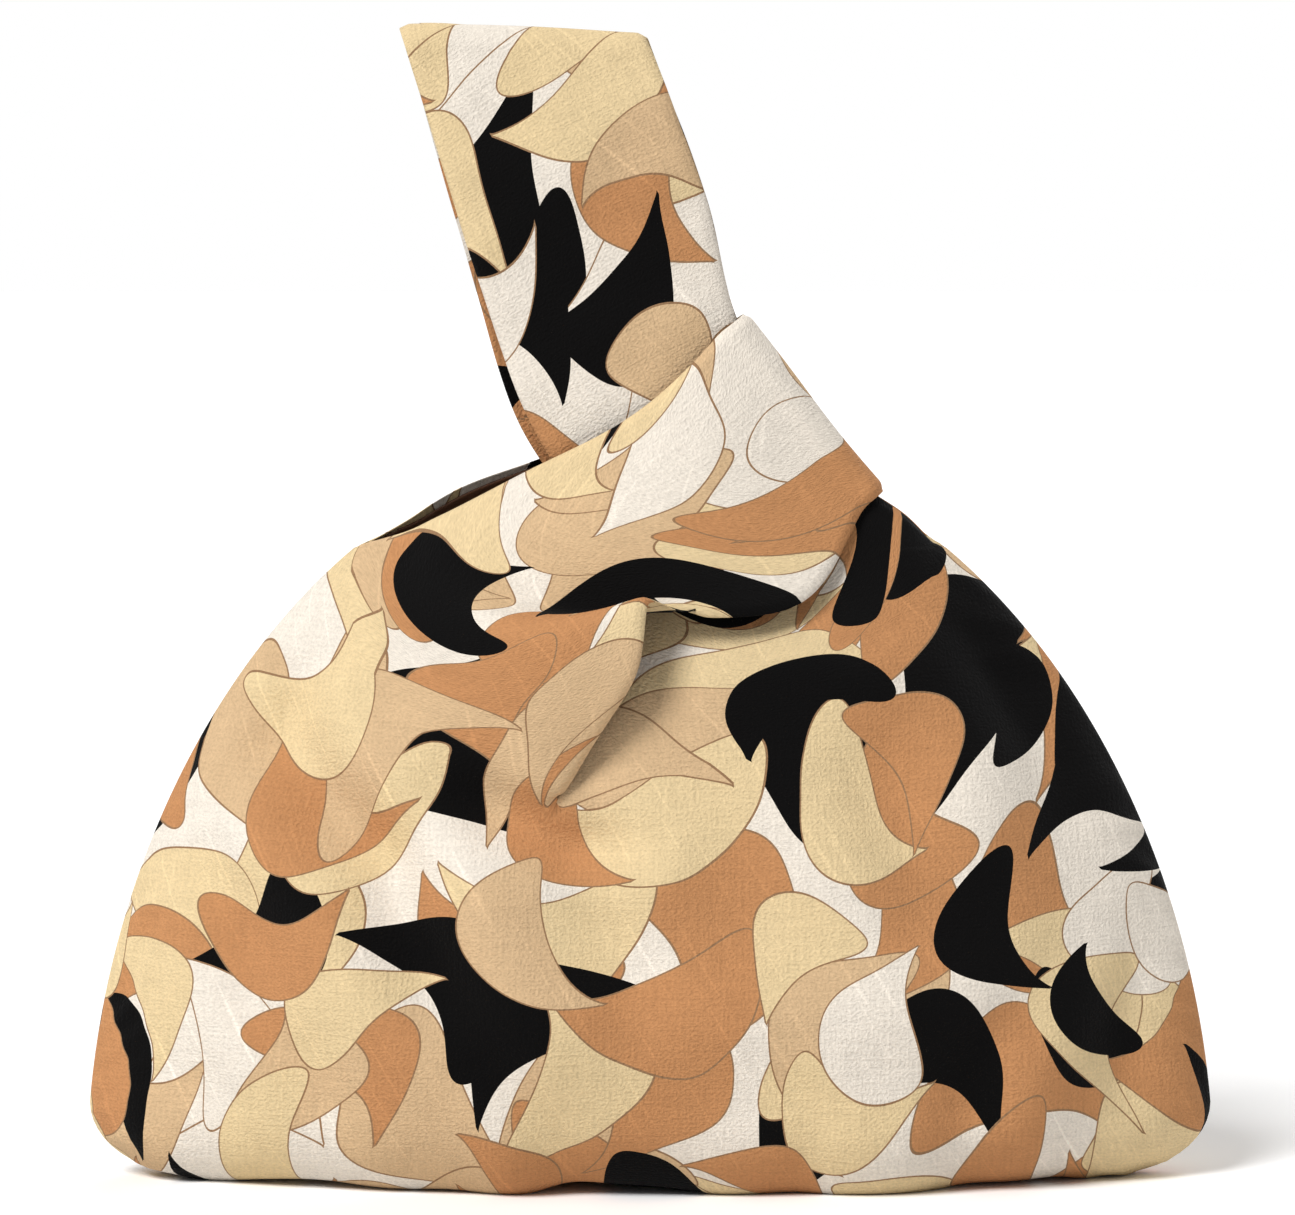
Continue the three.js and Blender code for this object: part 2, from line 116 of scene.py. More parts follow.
def natural_spline(knots, values, at):
    """Natural cubic curve through values at knots, read at the given places."""
    knots = np.asarray(knots, float)
    values = np.asarray(values, float)
    at = np.asarray(at, float)
    count = len(knots)
    step = np.diff(knots)
    matrix = np.zeros((count, count))
    right = np.zeros((count, values[0].size))
    flat = values.reshape(count, -1)
    matrix[0, 0] = 1
    matrix[-1, -1] = 1
    for i in range(1, count - 1):
        matrix[i, i - 1] = step[i - 1]
        matrix[i, i] = 2 * (step[i - 1] + step[i])
        matrix[i, i + 1] = step[i]
        right[i] = 6 * ((flat[i + 1] - flat[i]) / step[i] - (flat[i] - flat[i - 1]) / step[i - 1])
    bend = np.linalg.solve(matrix, right)
    i = np.clip(np.searchsorted(knots, at, side="right") - 1, 0, count - 2)
    h = step[i][:, None]
    a = (knots[i + 1] - at)[:, None] / h
    b = 1 - a
    found = a * flat[i] + b * flat[i + 1]
    found += ((a ** 3 - a) * bend[i] + (b ** 3 - b) * bend[i + 1]) * h * h / 6
    return found.reshape((len(at),) + values.shape[1:])


def station_places(net):
    """Mean length along a net of guide points from its first station to each."""
    strides = np.linalg.norm(np.diff(net, axis=0), axis=2).mean(1)
    return np.concatenate([[0], np.cumsum(strides)])


def net_surface(net, rows, columns, even_from=0.0):
    """Points of the smooth surface through a net of guide points: stations along, lines across.

    The columns keep their own spacing at the first row and are evenly spaced from the given share
    of the length.
    """
    net = np.asarray(net, float)
    knots = station_places(net)
    along = natural_spline(knots, net, rows * knots[-1])
    lines = np.linspace(0, 1, net.shape[1])
    even = np.linspace(0, 1, len(columns))
    grid = []
    for row, line in zip(rows, along):
        share = smoothstep(0, even_from, row) if even_from else 1.0
        grid.append(natural_spline(lines, line, columns + (even - columns) * share))
    return np.array(grid)


def smoothstep(low, high, x):
    t = np.clip((x - low) / (high - low), 0, 1)
    return t * t * (3 - 2 * t)


def bell(away, reach):
    return np.exp(-(away / reach) ** 2)


NOISE_WAVES = 22
NOISE_SPREAD = (0.7, 1.4)       # least and greatest wave number, as shares of the given one's


def soft_noise(places, wavelength, seed):
    """Smooth random height of about unit size."""
    random = np.random.RandomState(seed)
    ways = random.normal(size=(NOISE_WAVES, places.shape[1]))
    ways /= np.linalg.norm(ways, axis=1)[:, None]
    ways *= random.uniform(*NOISE_SPREAD, (NOISE_WAVES, 1))
    phases = random.uniform(0, 2 * math.pi, NOISE_WAVES)
    waves = np.sin(places @ ways.T * (2 * math.pi / wavelength) + phases)
    return waves.sum(1) / math.sqrt(NOISE_WAVES / 2)


def lumps(places, sizes, seed):
    """Sum of soft noises, each of its own height and wavelength."""
    return sum(height * soft_noise(places, wave, seed + k) for k, (height, wave) in enumerate(sizes))


# Filled body

def outline_half_width(z):
    return BODY_HALF_WIDTH * np.sqrt(np.maximum(0, 1 - (z / CROWN_HEIGHT) ** OUTLINE_POWER))


def corner_round(z):
    """How much of the step from the base to the wall the rounded corner has taken at a height."""
    return np.sqrt(np.maximum(0, 1 - (1 - np.minimum(z, CORNER_HEIGHT) / CORNER_HEIGHT) ** 2))


def half_width(z):
    step = outline_half_width(CORNER_HEIGHT) - BASE_HALF_WIDTH
    low = BASE_HALF_WIDTH + step * corner_round(z)
    return np.where(z >= CORNER_HEIGHT, outline_half_width(np.maximum(z, 0)), low)


def half_depth(z):
    rise = np.clip((z - FULLEST_HEIGHT) / DEPTH_FADE, 0, 1)
    high = BODY_HALF_DEPTH * np.sqrt(1 - rise ** DEPTH_POWER)
    drawn_in = FOOT_DRAW_IN * (1 - np.minimum(z, FULLEST_HEIGHT) / FULLEST_HEIGHT) ** 2
    wall = BODY_HALF_DEPTH * (1 - drawn_in)
    low = BASE_HALF_DEPTH + (wall - BASE_HALF_DEPTH) * corner_round(z)
    return np.where(z > FULLEST_HEIGHT, high, np.where(z >= CORNER_HEIGHT, wall, low))


def fullness(share):
    return np.maximum(0, 1 - share * share) ** SECTION_POWER


def on_body(share, z):
    depth = -SEAM_HALF_GAP - half_depth(z) * fullness(share)
    return np.stack([half_width(z) * share, depth, z], -1)


def rim_height(share):
    span = np.where(share < SCOOP_SHARE, SCOOP_SHARE + 1, 1 - SCOOP_SHARE)
    climb = (np.abs(share - SCOOP_SHARE) / span) ** RIM_POWER
    return SCOOP_HEIGHT + (SHOULDER_HEIGHT - SCOOP_HEIGHT) * climb


def column_shares():
    scoop = math.asin(SCOOP_SHARE)
    left = np.linspace(-math.pi / 2, scoop, SCOOP_COLUMN + 1)
    right = np.linspace(scoop, math.pi / 2, COLUMNS - SCOOP_COLUMN + 1)
    return np.sin(np.concatenate([left, right[1:]]))


def body_grid():
    """Rows from the bottom seam to the mouth, columns from the left side seam to the right."""
    share = column_shares()
    rows = []
    for row in range(BASE_ROWS):
        t = row / BASE_ROWS
        half = BASE_HALF_WIDTH - BASE_SEAM_INSET * (1 - t)
        depth = -SEAM_HALF_GAP - BASE_HALF_DEPTH * t * fullness(share)
        rows.append(np.stack([half * share, depth, 0 * share], -1))
    for row in range(CORNER_ROWS):
        z = CORNER_HEIGHT * (1 - math.cos(math.pi / 2 * row / CORNER_ROWS))
        rows.append(on_body(share, np.full_like(share, z)))
    for row in range(WALL_ROWS + 1):
        z = CORNER_HEIGHT + (rim_height(share) - CORNER_HEIGHT) * row / WALL_ROWS
        rows.append(on_body(share, z))
    return np.array(rows)


# Guide points of the straps

# Left strap: stations from above the mouth to the fold, lines from the outer edge to the scoop's edge.
# The third and fourth stations are the crest and the valley of the pleat that hangs over the scoop.
LEFT_STRAP = (
    [(-72, -4.5, 196), (-69, -24, 171), (-48, -41.5, 152), (-11.5, -49, 143)],
    [(-66.5, -6, 198.8), (-64, -25.5, 175.5), (-41, -43.5, 161.5), (-1.5, -50, 163)],
    [(-61, -7.5, 201.5), (-58, -26, 180), (-34, -44.5, 171), (-1, -48, 180)],
    [(-53, -9, 205.5), (-47, -23.5, 186), (-27, -33, 171), (5, -40, 174)],
    [(-36, -11, 213.8), (-30, -22, 197), (-11, -29.5, 184.5), (14, -36.5, 171)],
    [(-4, -12, 231.5), (6, -20, 214.5), (21, -26.5, 195.5), (43, -32, 175)],
    [(21.5, -9, 255), (35.2, -9, 237.3), (49, -9, 219), (63.5, -9, 202)],
)
# How much of the arch each of the first stations takes at the outer edge, and all of them at the next line
EDGE_ARCH = np.array([0.7, 0.9, 1.0, 0.9, 0.3])
INNER_ARCH = 0.4

# Right shoulder: stations from above the mouth, lines from the scoop's edge to the outer edge
RIGHT_SHOULDER = (
    [(-22, -36, 140), (24, -37, 152), (62, -21.5, 174), (77, -3.5, 200)],
    [(-10, -23, 165), (20, -22, 172), (50, -13, 189), (66, -4, 207)],
    [(-6, -12, 185), (14, -10, 195), (36, -8, 205), (53, -4, 218)],
)

# Long strap and carry loop: stations upward, lines from the left edge to the right edge
LONG_STRAP = (
    [(-6, -12, 185), (22, -10, 203), (49, -3.5, 215)],
    [(-25, -9, 210), (9, -9, 222), (37, -5, 236)],
    [(-37, -7, 230), (-3, -8, 241), (26.5, -3.6, 257.5)],
    [(-50, -7, 266), (-13.5, -8.5, 274), (20, -6, 282)],
    [(-64, -9.5, 310), (-28.5, -11, 315), (9, -9, 316)],
    [(-72.5, -8, 338), (-37, -8.5, 338), (1.6, -7.5, 335.5)],
)
LOOP_TOP = [(-74.6, 0, 346), (-38, 0, 345.3), (-1.2, 0, 343)]
# How much of the lean each station takes at the left edge
LOOP_LEAN = np.array([0.6, 1.0, 1.0, 0.5, 0.2, 0.0])


def grown_grid(share, across, stations, row_count, even_from, settled):
    """Rows of cloth that grow out of a stretch of the mouth and go on through stations of guide points.

    From the given shares of the length on, the columns are even and the mouth's own curve is gone.
    """
    rim = on_body(share, rim_height(share))
    lines = np.linspace(0, 1, stations.shape[1])
    mouth = np.stack([np.interp(lines, across, rim[:, axis]) for axis in range(3)], -1)
    rows = np.linspace(0, 1, row_count + 1)
    grid = net_surface(np.concatenate([mouth[None], stations]), rows, across, even_from)
    grid += (rim - grid[0]) * (1 - smoothstep(0, settled, rows))[:, None, None]
    grid[0] = rim
    return grid


def fold_rows(edge, reach):
    """Rows that turn a strap's last row over, as far as the given reach, to the middle plane."""
    rows = []
    for row in range(1, FOLD_ROWS + 1):
        turn = math.pi / 2 * row / FOLD_ROWS
        line = edge + reach * math.sin(turn)
        line[:, 1] = -SEAM_HALF_GAP + (edge[:, 1] + SEAM_HALF_GAP) * math.cos(turn)
        rows.append(line)
    return np.array(rows)


def strap_grid(arch):
    """The left strap from the mouth to half way round the short loop's fold.

    Its upper edge may arch above the straight line by a little.
    """
    stations = np.array(LEFT_STRAP, float)
    arched = slice(len(EDGE_ARCH))
    stations[arched, 0, 2] += arch * EDGE_ARCH
    stations[arched, 1, 2] += arch * INNER_ARCH
    share = column_shares()[:SCOOP_COLUMN + 1]
    across = (share + 1) / (SCOOP_SHARE + 1)
    grid = grown_grid(share, across, stations, STRAP_ROWS, STRAP_EVEN_FROM, STRAP_SETTLED)
    return np.concatenate([grid, fold_rows(grid[-1], BAND_ALONG * FOLD_RADIUS)])


def shoulder_grid():
    stations = np.array(RIGHT_SHOULDER, float)
    share = column_shares()[SCOOP_COLUMN:]
    across = (share - SCOOP_SHARE) / (1 - SCOOP_SHARE)
    return grown_grid(share, across, stations, SHOULDER_ROWS, SHOULDER_EVEN_FROM, SHOULDER_SETTLED)


# Sheets

def quad_edges(quads):
    return np.concatenate([quads[:, [0, 1]], quads[:, [1, 2]], quads[:, [2, 3]], quads[:, [3, 0]]])


def one_sided(edges, size):
    """Edges with a face on one side only, in that face's direction."""
    forward = edges[:, 0] * size + edges[:, 1]
    backward = edges[:, 1] * size + edges[:, 0]
    return edges[~np.isin(forward, backward)]


def both_ways(edges):
    return np.concatenate([edges, edges[:, ::-1]])


class Sheet:
    """A sheet of cloth as points and quads.

    It knows each point's place in the flat pattern and whether it lies on a sewn edge. It also holds
    the numbers of the body's points, how far each point shares the body's folds, and how many rings
    the printed cloth turns in further at free edges.
    """

    def __init__(self):
        self.points = np.zeros((0, 3))
        self.flat = np.zeros((0, 2))
        self.quads = np.zeros((0, 4), int)
        self.sewn = np.zeros(0, bool)
        self.wall = np.zeros(0, int)
        self.body_share = np.zeros(0)
        self.turn_in = 0.0

    def add_grid(self, grid, flat, first_row=None):
        """Adds rows of points; a first row that is there already is given by its numbers."""
        rows, columns = grid.shape[:2]
        start = len(self.points)
        skip = 0 if first_row is None else 1
        numbers = np.zeros((rows, columns), int)
        numbers[skip:] = start + np.arange((rows - skip) * columns).reshape(rows - skip, columns)
        if skip:
            numbers[0] = first_row
        self.points = np.concatenate([self.points, grid[skip:].reshape(-1, 3)])
        self.flat = np.concatenate([self.flat, flat[skip:].reshape(-1, 2)])
        self.sewn = np.concatenate([self.sewn, np.zeros((rows - skip) * columns, bool)])
        corners = [numbers[:-1, :-1], numbers[:-1, 1:], numbers[1:, 1:], numbers[1:, :-1]]
        self.quads = np.concatenate([self.quads, np.stack(corners, -1).reshape(-1, 4)])
        return numbers

    def normals(self):
        p = self.points[self.quads]
        face = np.cross(p[:, 2] - p[:, 0], p[:, 3] - p[:, 1])
        out = np.zeros_like(self.points)
        for k in range(4):
            np.add.at(out, self.quads[:, k], face)
        return out / np.maximum(np.linalg.norm(out, axis=1), TINY)[:, None]

    def smooth(self, weight, times):
        """Moves points towards their neighbours' middle, rim points along the rim only."""
        edges = quad_edges(self.quads)
        rim = one_sided(edges, len(self.points))
        on_rim = np.zeros(len(self.points), bool)
        on_rim[rim.ravel()] = True
        pairs = both_ways(edges)
        pairs = np.concatenate([pairs[~on_rim[pairs[:, 0]]], both_ways(rim)])
        count = np.bincount(pairs[:, 0], minlength=len(self.points))
        free = weight * ~self.sewn
        for _ in range(times):
            total = np.zeros_like(self.points)
            np.add.at(total, pairs[:, 0], self.points[pairs[:, 1]])
            middle = total / np.maximum(count, 1)[:, None]
            self.points += (middle - self.points) * free[:, None]

    def rim_distance(self, in_rings=False):
        """Distance along the mesh to the nearest free edge, in millimetres or in rings of quads."""
        edges = quad_edges(self.quads)
        rim = one_sided(edges, len(self.points))
        free = rim[~self.sewn[rim].all(1)]
        far = np.full(len(self.points), np.inf)
        far[free.ravel()] = 0
        pairs = both_ways(edges)
        length = 1.0
        if not in_rings:
            length = np.linalg.norm(self.points[pairs[:, 0]] - self.points[pairs[:, 1]], axis=1)
        for _ in range(RIM_RINGS):
            np.minimum.at(far, pairs[:, 1], far[pairs[:, 0]] + length)
        return far


def arc_along(grid, axis):
    step = np.linalg.norm(np.diff(grid, axis=axis), axis=2)
    first = np.zeros_like(np.take(step, [0], axis))
    return np.cumsum(np.concatenate([first, step], axis), axis)


def body_flat(grid):
    """Flat pattern of the body: across from the middle column, up along the middle profile."""
    level = grid.copy()
    level[..., 2] = 0
    middle = COLUMNS // 2
    across = arc_along(level, 1)
    across -= across[:, middle:middle + 1]
    up = arc_along(grid[:, middle:middle + 1], 0)[:, 0]
    heights = grid[:, middle, 2]
    along = np.repeat(up[:, None], grid.shape[1], 1)
    wall = grid[BASE_ROWS:, :, 2]
    climb = np.interp(wall, heights[BASE_ROWS:], up[BASE_ROWS:])
    along[BASE_ROWS:] = climb + np.maximum(wall - heights[-1], 0)
    return np.stack([across, along], -1)


def strap_flat(grid, start, centre):
    """Flat pattern of a strap that grows from a row of known flat places to its own width."""
    along = arc_along(grid, 0)
    lines = np.linspace(-0.5, 0.5, grid.shape[1]) * STRAP_WIDTH + centre
    share = smoothstep(0, FULL_WIDTH_FROM, np.linspace(0, 1, grid.shape[0]))[:, None]
    across = start[None, :, 0] * (1 - share) + lines[None] * share
    return np.stack([across, start[None, :, 1] + along], -1)


# Rows over which the body's folds fade out up the strap and up the shoulder
STRAP_FOLD_ROWS = STRAP_ROWS / 5
SHOULDER_FOLD_ROWS = SHOULDER_ROWS / 1.5


def panel_sheet(arch):
    """One printed panel: body, left strap up to the short loop's fold, right shoulder."""
    sheet = Sheet()
    body = body_grid()
    numbers = sheet.add_grid(body, body_flat(body))
    for seam in (numbers[0], numbers[:, 0], numbers[:, -1]):
        sheet.sewn[seam] = True
    sheet.wall = numbers.ravel()
    strap = strap_grid(arch)
    left = numbers[-1, :SCOOP_COLUMN + 1]
    strap_numbers = sheet.add_grid(strap, strap_flat(strap, sheet.flat[left], LEFT_STRAP_CENTRE), left)
    sheet.sewn[strap_numbers[-1]] = True
    shoulder = shoulder_grid()
    right = numbers[-1, SCOOP_COLUMN:]
    shoulder_places = strap_flat(shoulder, sheet.flat[right], SHOULDER_CENTRE)
    shoulder_numbers = sheet.add_grid(shoulder, shoulder_places, right)
    sheet.body_share = np.ones(len(sheet.points))
    for rows, reach in ((strap_numbers, STRAP_FOLD_ROWS), (shoulder_numbers, SHOULDER_FOLD_ROWS)):
        fade = 1 - smoothstep(0, reach, np.arange(len(rows)))
        sheet.body_share[rows[1:]] = fade[1:, None]
    ease_mouth(sheet)
    return sheet


MOUTH_HALF_SPAN = 120
MOUTH_EASE_REACH = 22
MOUTH_EASE_HEIGHTS = (100, 120)
MOUTH_EASE_ROUNDS = 14
MOUTH_EASE_ELSEWHERE = 0.25
SMOOTHING = 0.5                 # share of the way to the neighbours' middle that a round of smoothing goes


def ease_mouth(sheet):
    """Smooths the bend where the straps grow out of the body, and a little all that is above it."""
    x, _, z = sheet.points.T
    from_rim = z - rim_height(np.clip(x / MOUTH_HALF_SPAN, -1, 1))
    near = np.clip(bell(from_rim, MOUTH_EASE_REACH) + MOUTH_EASE_ELSEWHERE, 0, 1)
    sheet.smooth(SMOOTHING * near * smoothstep(*MOUTH_EASE_HEIGHTS, z), MOUTH_EASE_ROUNDS)


def loop_sheets(lean):
    """The long strap's run behind the knot, and the carry loop that goes on up to the top seam."""
    net = np.array(LONG_STRAP, float)
    net[:, 0, 0] -= lean * LOOP_LEAN
    columns = np.linspace(0, 1, LOOP_COLUMNS + 1)
    shares = np.linspace(0, 1, LOOP_ROWS + 1)
    grid = net_surface(net, shares, columns)
    top = natural_spline([0, 0.5, 1], LOOP_TOP, columns)
    whole = np.concatenate([grid, fold_rows(grid[-1], top - grid[-1])])
    start_line = np.linspace(-STRAP_WIDTH / 2, STRAP_WIDTH / 2, LOOP_COLUMNS + 1)
    flat = strap_flat(whole, np.stack([start_line, 0 * start_line], -1), 0)
    stations = station_places(net)
    stations /= stations[-1]
    begins, ends = np.searchsorted(shares, stations[1:3])
    # the run goes on a little way up inside the loop
    climb = smoothstep(0, stations[1], shares[:ends])[:, None]
    middle = grid[:ends].mean(1, keepdims=True)
    run_grid = middle + (grid[:ends] - middle) * (1 - RUN_NARROWER * climb[..., None])
    run_grid[..., 1] += RUN_INSET * climb
    run = Sheet()
    run.add_grid(run_grid, flat[:ends])
    loop = Sheet()
    numbers = loop.add_grid(whole[begins:], flat[begins:])
    loop.sewn[numbers[-1]] = True
    return run, loop


# Softness: swelling, drag folds that the knot pulls into the body, puckers along the seams

# Valleys seen from the front: places x, z along each, depth and half breadth
DRAG_FOLDS = (
    ([(-118, 146), (-98, 117), (-80, 100), (-72, 80), (-60, 60), (-52, 44)], 9.0, 11.0),
    ([(-62, 122), (-46, 115), (-24, 107), (-4, 106)], 6.0, 8.0),
    ([(-84, 178), (-104, 158), (-124, 124), (-134, 96)], 3.0, 9.0),
    ([(-138, 104), (-122, 82), (-112, 56)], 3.0, 9.0),
    ([(30, 152), (62, 128), (84, 92), (92, 64)], 3.2, 13.0),
    ([(84, 184), (104, 156), (124, 118)], 2.6, 9.0),
    ([(-22, 96), (-6, 66), (-2, 40)], 3.0, 11.0),
    ([(-128, 62), (-104, 40), (-92, 14)], 2.4, 8.0),
    ([(118, 70), (98, 44), (92, 16)], 2.2, 9.0),
    ([(-46, 40), (-32, 20), (-28, 4)], 2.0, 7.0),
    ([(38, 40), (48, 22), (46, 4)], 2.0, 8.0),
    ([(148, 74), (140, 50), (142, 24)], 2.0, 8.0),
)
VALLEY_START = 0.05             # part of a half wave over which a valley fades in and out
VALLEY_SPAN = 0.9
VALLEY_FADE_POWER = 0.7
LIP_HEIGHT = 0.35               # the soft ridge along both sides of a valley, as a share of its depth
LIP_PLACE = 1.9                 # and its distance from the line, in half breadths


def fold_depth(places, line, depth, breadth):
    """Depth of a soft valley that fades out towards both ends of its line."""
    line = np.array(line, float)
    steps = np.diff(line, axis=0)
    lengths = np.linalg.norm(steps, axis=1)
    starts = np.concatenate([[0], np.cumsum(lengths)])
    nearest = np.full(len(places), np.inf)
    reach = np.zeros(len(places))
    for origin, step, length, start in zip(line, steps, lengths, starts):
        share = np.clip((places - origin) @ step / length ** 2, 0, 1)
        away = np.linalg.norm(places - origin - share[:, None] * step, axis=1)
        closer = away < nearest
        nearest = np.where(closer, away, nearest)
        reach = np.where(closer, (start + share * length) / starts[-1], reach)
    fade = np.sin(np.pi * np.clip(reach * VALLEY_SPAN + VALLEY_START, 0, 1)) ** VALLEY_FADE_POWER
    valley = bell(nearest, breadth) - LIP_HEIGHT * bell(nearest - LIP_PLACE * breadth, breadth)
    return depth * fade * valley


# Noises: height and wavelength
PANEL_LUMPS = ((1.5, 130), (0.7, 52))
RAY_WAVER = ((1.3, 150),)
PUCKER_WAVER = ((2.2, 60),)
STRAP_LUMPS = ((0.7, 60), (0.3, 24))
DRIFT_WAVE = 160
CREASE_WAVE = 34
BAND_WAVE = 60

# Where each kind of relief fades: from nothing to all of it
BODY_HEIGHTS = (205, 150)
LOW_HEIGHTS = (62, 12)
INNER_REACH = (0, 26)
PUCKER_NEAR = (34, 4)
PUCKER_OFF_SEAM = (0, 5)
BAND_DEPTHS = (2, 12)
STRAP_DEPTHS = (0.5, 5)

SIDE_SEAM_TOP = 190
FAR_FROM_SEAM = 60
EDGE_COUNTED = 80               # reach from the outline that counts in the distance from a side seam
EDGE_SHARE = 0.3
KNOT = np.array([4.0, 182.0])   # seen from the front
RAY_COUNT = 11
RAY_RING = 70
RAY_RING_BREADTH = 50
RAY_HEIGHT = 0.8
PUCKER_PITCH = 12.5
PUCKER_SLANT = 0.6
PUCKER_HEIGHT = 0.5
CREASE_HEIGHT = 0.6
CREASE_STRETCH = np.array([1.0, 0.35])
BAND_HEIGHT = 0.6
FLOOR_CLEARANCE = 0.05


def seam_distance(points):
    """About how far each point is from the side seams."""
    x, y, z = points.T
    edge = np.minimum(np.abs(half_width(np.clip(z, 0, SIDE_SEAM_TOP)) - np.abs(x)), EDGE_COUNTED)
    return np.where(z < SIDE_SEAM_TOP, np.abs(y) + EDGE_SHARE * edge, FAR_FROM_SEAM)


def knot_rays(front, seed):
    """Fine folds that fan out round the knot."""
    away = front - KNOT
    angle = np.arctan2(away[:, 1], away[:, 0])
    ring = bell(np.linalg.norm(away, axis=1) - RAY_RING, RAY_RING_BREADTH)
    return np.sin(RAY_COUNT * angle + lumps(front, RAY_WAVER, seed)) * ring


def seam_puckers(front, from_seam, seed):
    along = front[:, 1] + PUCKER_SLANT * np.abs(front[:, 0])
    wave = np.sin(along * (2 * math.pi / PUCKER_PITCH) + lumps(front, PUCKER_WAVER, seed))
    return wave * (smoothstep(*PUCKER_NEAR, from_seam) * smoothstep(*PUCKER_OFF_SEAM, from_seam))


def soften_panel(sheet, seed, wander):
    """Adds a panel's relief along its normals; its folds drift from their drawn places."""
    p = sheet.points
    front = p[:, [0, 2]]
    from_seam = seam_distance(p)
    body = smoothstep(*BODY_HEIGHTS, p[:, 2])
    drift = np.stack([soft_noise(front, DRIFT_WAVE, seed + k) for k in (6, 7)], -1)
    folds = sum(fold_depth(front + wander * drift, *fold) for fold in DRAG_FOLDS) * sheet.body_share
    rays = RAY_HEIGHT * knot_rays(front, seed + 2) * sheet.body_share
    creases = soft_noise(front * CREASE_STRETCH, CREASE_WAVE, seed + 4) * smoothstep(*LOW_HEIGHTS, p[:, 2])
    relief = lumps(front, PANEL_LUMPS, seed) + rays + CREASE_HEIGHT * creases - folds
    height = body * smoothstep(*INNER_REACH, from_seam) * relief
    height += PUCKER_HEIGHT * seam_puckers(front, from_seam, seed + 3) * body
    band = smoothstep(*BAND_DEPTHS, np.abs(p[:, 1]))
    height += (1 - body) * BAND_HEIGHT * soft_noise(p, BAND_WAVE, seed + 5) * band
    sheet.points = p + sheet.normals() * (height * ~sheet.sewn)[:, None]
    level = np.minimum(sheet.points[:, 1], -SEAM_HALF_GAP)
    sheet.points[:, 1] = np.where(sheet.sewn, sheet.points[:, 1], level)
    sheet.points[:, 2] = np.maximum(sheet.points[:, 2], FLOOR_CLEARANCE)


# The pleat's crest: its height and breadth, and where its rounding fades in
CREST_HEIGHT = 173
CREST_BREADTH = 9
CREST_LEFT = (-58, -42)
CREST_RIGHT = (14, 4)
CREST_DEPTHS = (-28, -36)
# The turn of the pleat's edge under the band, and the ends of the side seams
PLEAT_TURN = (7.0, -39.0, 171.5)
PLEAT_TURN_REACH = 12.0
PLEAT_TURN_SMOOTHING = 0.6
PLEAT_TURN_ROUNDS = 30
PLEAT_TURN_IN = 9.0
CORNER_TURN_IN = 5.0
CORNER_REACH = 6.0


def ease_turns(sheet, rounds):
    """Rounds the pleat's crest and the sharp turn of its edge under the band.

    The printed cloth turns in further at that edge, and at the ends of the side seams.
    """
    x, y, z = sheet.points.T
    crest = bell(z - CREST_HEIGHT, CREST_BREADTH)
    crest = crest * smoothstep(*CREST_LEFT, x) * smoothstep(*CREST_RIGHT, x) * smoothstep(*CREST_DEPTHS, y)
    sheet.smooth(SMOOTHING * crest, rounds)
    turn = bell(np.linalg.norm(sheet.points - np.array(PLEAT_TURN), axis=1), PLEAT_TURN_REACH)
    sheet.smooth(PLEAT_TURN_SMOOTHING * turn, PLEAT_TURN_ROUNDS)
    from_corner = np.hypot(np.abs(x) - half_width(np.array(SHOULDER_HEIGHT)), z - SHOULDER_HEIGHT)
    sheet.turn_in = PLEAT_TURN_IN * turn + CORNER_TURN_IN * bell(from_corner, CORNER_REACH)


def off_base_corners(sheet):
    """Points clear of the two ends of the bottom seam, where the layers meet."""
    x, _, z = sheet.points.T
    return np.flatnonzero(np.hypot(np.abs(x) - BASE_HALF_WIDTH, z) > 2 * BASE_SEAM_INSET)


def soften_strap(sheet, seed):
    p = sheet.points
    height = lumps(p, STRAP_LUMPS, seed) * smoothstep(*STRAP_DEPTHS, np.abs(p[:, 1]))
    sheet.points = p + sheet.normals() * (height * ~sheet.sewn)[:, None]


# Materials

def srgb(*levels):
    """A colour written in eight-bit levels, as the linear one that a shader takes."""
    shares = [level / 255 for level in levels]
    linear = [c / 12.92 if c <= 0.04045 else ((c + 0.055) / 1.055) ** 2.4 for c in shares]
    return (*linear, 1.0)


BLACK = srgb(7, 6, 6)
CARAMEL = srgb(201, 144, 97)
SAND = srgb(219, 186, 145)
YELLOW = srgb(234, 209, 163)
IVORY = srgb(243, 233, 219)
OUTLINE = srgb(156, 122, 90)
LINING_DARK = srgb(84, 52, 31)
LINING_BROWN = srgb(118, 74, 44)
FELT_GREY = srgb(206, 200, 186)
FELT_WHITE = srgb(240, 237, 229)
THREAD_DARK = srgb(96, 66, 42)
THREAD_LIGHT = srgb(164, 122, 84)


